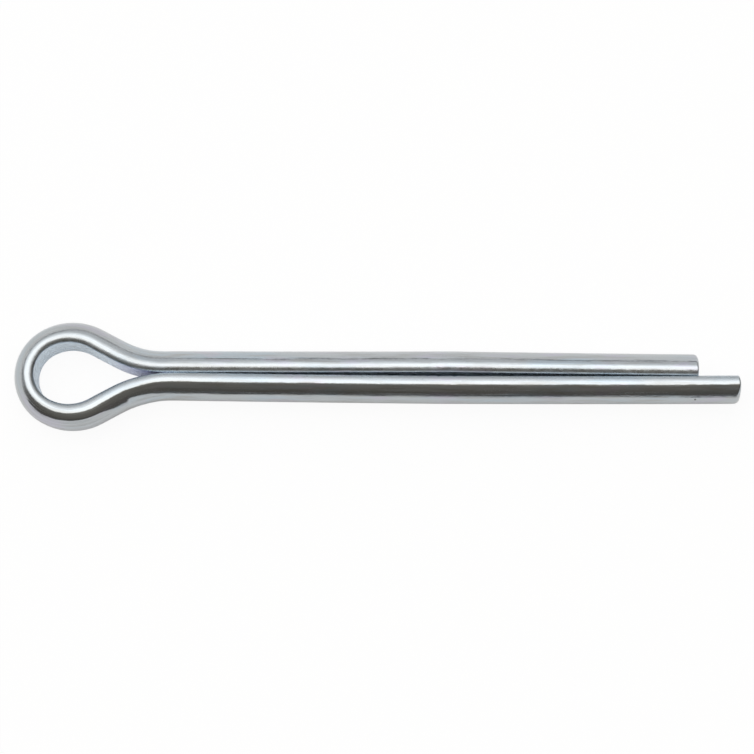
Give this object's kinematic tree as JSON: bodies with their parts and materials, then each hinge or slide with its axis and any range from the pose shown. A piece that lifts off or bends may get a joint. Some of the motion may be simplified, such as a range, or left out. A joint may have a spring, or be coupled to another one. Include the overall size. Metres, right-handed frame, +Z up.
{
  "type": "cotter pin",
  "caption": "Split cotter pin bent from half-round steel wire: a teardrop eye and prongs lying flat to flat, one reaching further, to be spread behind the hole it locks.",
  "frame": {"origin": "on the shank's axis at the narrowest place of the neck, where the eye ends and the prongs begin", "axes": "+X along the shank towards the ends of the prongs, +Y across the eye from the longer prong to the shorter, +Z up, square to the plane in which the wire is bent"},
  "size_m": [0.0662, 0.01, 0.0044],
  "materials": {
    "zinc_plate": "bright zinc plate over drawn steel wire, with fine draw lines along the wire"
  },
  "bodies": {
    "root": {"cotter_pin": "zinc_plate"}
  },
  "joints": []
}
